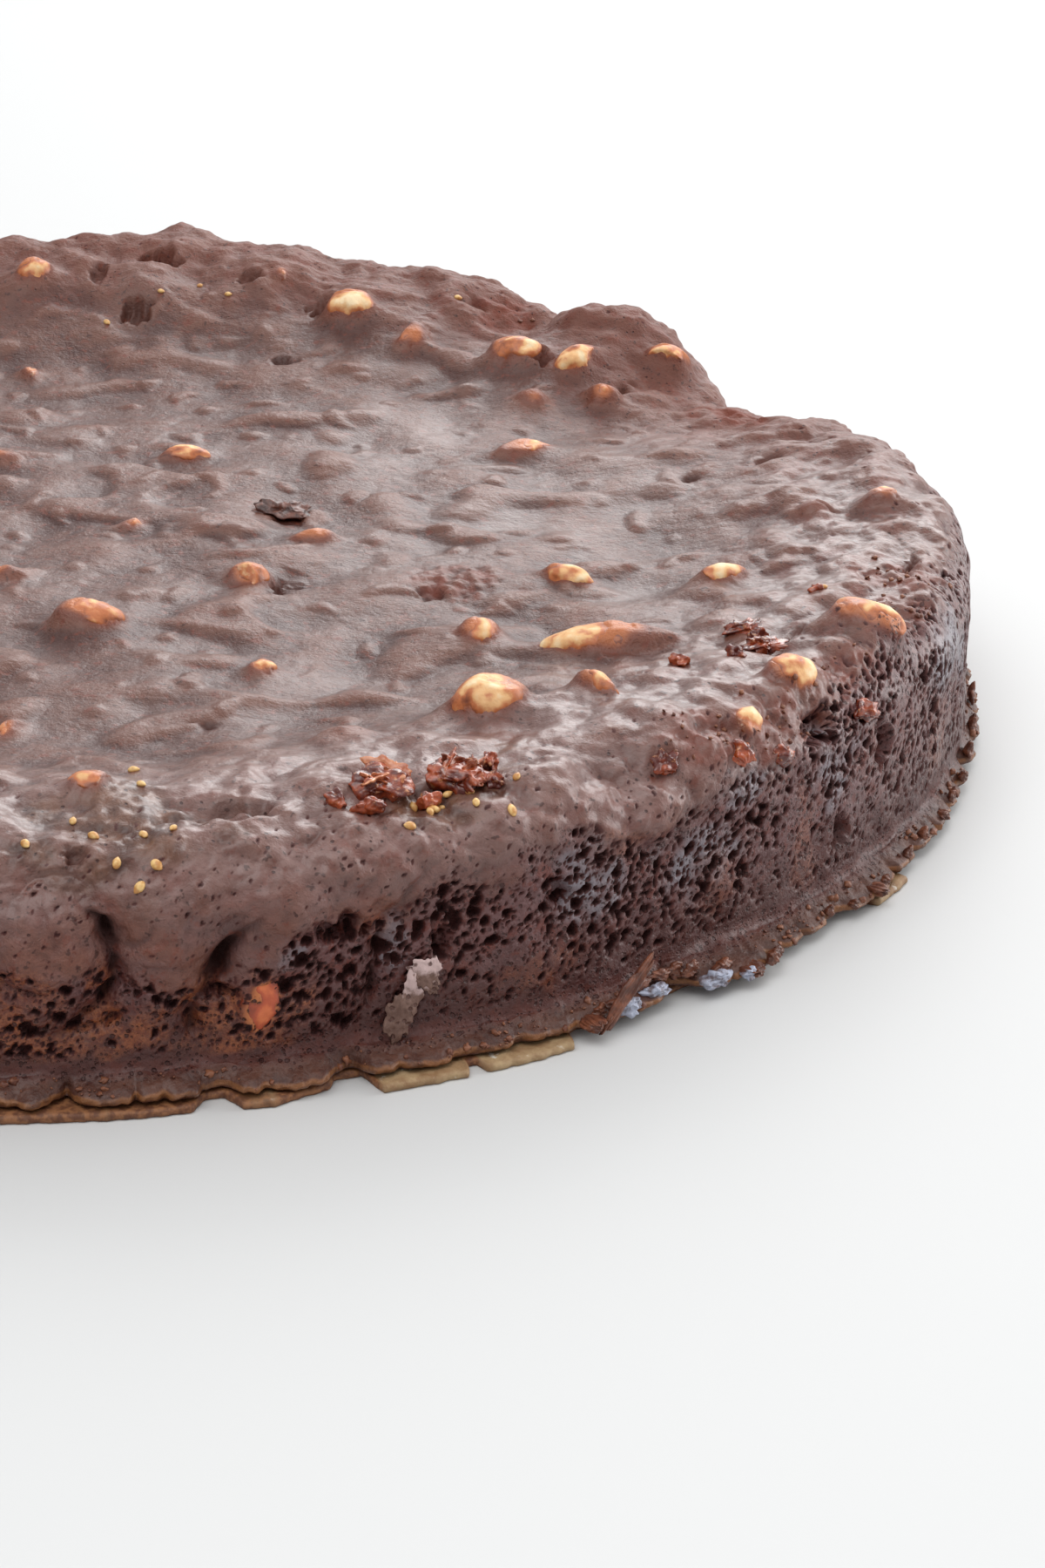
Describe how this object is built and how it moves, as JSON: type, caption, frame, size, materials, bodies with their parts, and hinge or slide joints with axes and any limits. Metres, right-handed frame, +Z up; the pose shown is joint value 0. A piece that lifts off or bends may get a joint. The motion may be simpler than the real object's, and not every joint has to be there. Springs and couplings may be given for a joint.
{
  "type": "panforte",
  "caption": "Whole round flat fruit and nut cake on rice paper: sunken satin top, lumpy raised rim, upright pitted side and a thin broken lip at its flat base.",
  "frame": {"origin": "centre of the flat underside of the rice paper, on the cake's axis", "axes": "+Z up along the cake's axis, out of its top"},
  "size_m": [0.2298, 0.2305, 0.0317],
  "materials": {
    "cake": "satin dark brown baked dough with a greyish mauve sheen, pitted on the side",
    "nut": "creamy toasted nut, bare where broken and stained brown by the dough",
    "fruit": "sticky red-brown dried fruit",
    "rice_paper": "thin tan wafer paper, stained at its edge"
  },
  "bodies": {
    "root": {"wafer_base": "rice_paper", "cake": "cake", "nut_back_1": "nut", "nut_back_2": "nut", "nut_back_3": "nut", "nut_back_4": "nut", "nut_back_5": "nut", "nut_back_6": "nut", "nut_back_7": "nut", "nut_back_8": "nut", "nut_mid_1": "nut", "nut_mid_2": "nut", "nut_mid_3": "nut", "nut_mid_4": "nut", "nut_mid_5": "nut", "nut_mid_6": "nut", "nut_mid_7": "nut", "nut_right_1": "nut", "nut_right_2": "nut", "nut_right_3": "nut", "nut_right_4": "nut", "nut_right_5": "nut", "nut_right_6": "nut", "nut_front_1": "nut", "nut_rim_1": "nut", "nut_rim_2": "nut", "nut_rim_3": "nut", "nut_rim_4": "nut", "nut_west_1": "nut", "nut_west_2": "nut", "nut_west_3": "nut", "nut_west_4": "nut", "nut_west_5": "nut", "nut_west_6": "nut", "nut_west_7": "nut", "nut_west_8": "nut", "nut_west_9": "nut", "nut_west_10": "nut", "nut_west_11": "nut", "nut_west_12": "nut", "nut_west_13": "nut", "nut_west_14": "nut", "nut_wall_1": "nut", "nut_wall_2": "nut", "nut_wall_3": "nut", "fruit_torn": "fruit", "fig_flesh_1": "fruit", "fig_flesh_2": "fruit", "fruit_jelly_1": "fruit", "fruit_jelly_2": "fruit", "fruit_west_1": "fruit", "fig_flesh_3": "fruit"}
  },
  "joints": []
}
